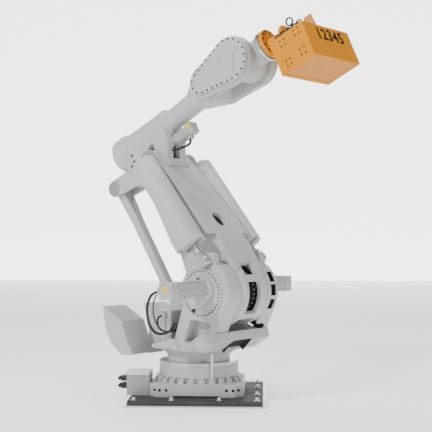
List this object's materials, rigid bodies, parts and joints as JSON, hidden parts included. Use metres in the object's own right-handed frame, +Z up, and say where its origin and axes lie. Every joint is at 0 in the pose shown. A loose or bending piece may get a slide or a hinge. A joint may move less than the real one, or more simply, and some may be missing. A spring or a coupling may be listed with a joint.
{
  "type": "industrial robot arm",
  "caption": "Heavy industrial robot arm on a floor plate, with a parallelogram linkage, two balancers, a counterweight and a steel test weight at its wrist.",
  "frame": {"origin": "on the turning axis of the turret, at the underside of the floor plates", "axes": "+X along the long side of the base casting, +Y to the far long side, +Z up; the arm heads 37 degrees to the right of +X"},
  "size_m": [2.6951, 2.3375, 3.8589],
  "materials": {
    "black_plastic": "black plastic",
    "black_rubber": "black cable jacket",
    "box_grey": "mid grey sheet metal",
    "bright_steel": "machined steel",
    "dark_steel": "dark mill-scale steel",
    "gear_dark": "oiled dark steel",
    "motor_paint": "grey-white motor paint",
    "orange_paint": "orange-yellow paint",
    "plate_steel": "pale orange sheet edges",
    "white_paint": "semi-gloss white paint"
  },
  "bodies": {
    "base": {"levelling_plate": "bright_steel", "floor_plate": "dark_steel", "base_casting": "white_paint", "slew_ring": "white_paint", "connection_box": "box_grey", "connection_box_lid": "white_paint", "cable_connectors": "black_plastic", "travel_stop_post": "bright_steel"},
    "turret": {"turret_casting": "white_paint", "shoulder_shaft": "bright_steel", "slew_motor": "motor_paint", "gear_covers": "white_paint", "motor_housings": "white_paint", "shoulder_motors": "motor_paint", "balancer_pins": "bright_steel", "motor_cables": "black_rubber"},
    "lower_arm": {"lower_arm_casting": "white_paint", "hub_gear_rings": "gear_dark", "hub_bearings": "bright_steel", "balancer_top_pins": "bright_steel"},
    "near_balancer": {"near_balancer_tube": "white_paint"},
    "far_balancer": {"far_balancer_tube": "white_paint"},
    "near_piston": {"near_balancer_piston": "bright_steel"},
    "far_piston": {"far_balancer_piston": "bright_steel"},
    "elbow_shaft": {"elbow_shaft": "bright_steel"},
    "upper_arm": {"elbow_casting": "white_paint", "rear_cap": "white_paint", "roll_motor": "motor_paint", "roll_motor_cables": "black_rubber"},
    "rod_pin": {"rod_top_pin": "bright_steel"},
    "rod": {"parallel_rod": "white_paint"},
    "crank": {"crank_arm": "white_paint", "counterweight": "white_paint", "rod_bottom_pin": "bright_steel"},
    "forearm": {"forearm_casting": "white_paint", "wrist_covers": "white_paint"},
    "wrist": {"wrist_hub": "white_paint"},
    "tool": {"tool_flange": "bright_steel", "weight_adaptor": "orange_paint", "weight_back_plate": "orange_paint", "side_weight_plates": "orange_paint", "front_weight_plate": "orange_paint", "top_weight_plate": "orange_paint", "weight_stacks": "plate_steel", "lifting_lug": "orange_paint", "lifting_chain": "gear_dark"}
  },
  "joints": [
    {"name": "axis_1", "type": "hinge", "parent": "base", "child": "turret", "pos_m": [0, 0, 0.4], "axis": [0, 0, 1], "range_deg": [-133, 207]},
    {"name": "axis_2", "type": "hinge", "parent": "turret", "child": "lower_arm", "pos_m": [0.33942, -0.25577, 1.135], "axis": [0.6018, 0.7986, 0], "range_deg": [-32, 83]},
    {"name": "axis_3", "type": "hinge", "parent": "elbow_shaft", "child": "upper_arm", "pos_m": [-0.35218, 0.26539, 2.46849], "axis": [0.6018, 0.7986, 0], "range_deg": [-2, 45]},
    {"name": "elbow_level", "type": "hinge", "parent": "lower_arm", "child": "elbow_shaft", "pos_m": [-0.35218, 0.26539, 2.46849], "axis": [0.6018, 0.7986, 0], "range_deg": [-83.5, 32.5]},
    {"name": "crank_turn", "type": "hinge", "parent": "turret", "child": "crank", "pos_m": [0.33942, -0.25577, 1.135], "axis": [0.6018, 0.7986, 0], "range_deg": [-2.5, 45.5]},
    {"name": "rod_pin_level", "type": "hinge", "parent": "upper_arm", "child": "rod_pin", "pos_m": [-0.90723, 0.68365, 2.22849], "axis": [0.6018, 0.7986, 0], "range_deg": [-45.5, 2.5]},
    {"name": "rod_swing", "type": "hinge", "parent": "rod_pin", "child": "rod", "pos_m": [-0.90723, 0.68365, 2.22849], "axis": [0.6018, 0.7986, 0], "range_deg": [-32.5, 83.5]},
    {"name": "near_balancer_swing", "type": "hinge", "parent": "lower_arm", "child": "near_balancer", "pos_m": [-0.50563, -0.1912, 2.36689], "axis": [0.6018, 0.7986, 0], "range_deg": [-7.68, 19.13]},
    {"name": "far_balancer_swing", "type": "hinge", "parent": "lower_arm", "child": "far_balancer", "pos_m": [0.04443, 0.53875, 2.36689], "axis": [0.6018, 0.7986, 0], "range_deg": [-7.68, 19.13]},
    {"name": "near_piston_swing", "type": "hinge", "parent": "turret", "child": "near_piston", "pos_m": [0.09634, -0.64482, 1.459], "axis": [0.6018, 0.7986, 0], "range_deg": [-39.68, 102.13]},
    {"name": "far_piston_swing", "type": "hinge", "parent": "turret", "child": "far_piston", "pos_m": [0.64639, 0.08513, 1.459], "axis": [0.6018, 0.7986, 0], "range_deg": [-39.68, 102.13]},
    {"name": "axis_4", "type": "hinge", "parent": "upper_arm", "child": "forearm", "pos_m": [-0.50215, 0.3784, 2.82167], "axis": [0.7052, -0.5314, 0.4695], "range_deg": [-300, 300]},
    {"name": "axis_5", "type": "hinge", "parent": "forearm", "child": "wrist", "pos_m": [0.49282, -0.37136, 3.48409], "axis": [0.6018, 0.7986, 0], "range_deg": [-115, 115]},
    {"name": "axis_6", "type": "hinge", "parent": "wrist", "child": "tool", "pos_m": [0.49282, -0.37136, 3.48409], "axis": [0.7238, -0.5454, 0.4226], "range_deg": [-300, 300]}
  ],
  "couplings": [
    {"joint": "elbow_level", "follows": "axis_2", "ratio": -1},
    {"joint": "rod_swing", "follows": "axis_2", "ratio": 1},
    {"joint": "near_balancer_swing", "follows": "axis_2", "ratio": 0.2245},
    {"joint": "far_balancer_swing", "follows": "axis_2", "ratio": 0.2245},
    {"joint": "near_piston_swing", "follows": "axis_2", "ratio": 1.2245},
    {"joint": "far_piston_swing", "follows": "axis_2", "ratio": 1.2245},
    {"joint": "crank_turn", "follows": "axis_3", "ratio": 1},
    {"joint": "rod_pin_level", "follows": "axis_3", "ratio": -1}
  ]
}
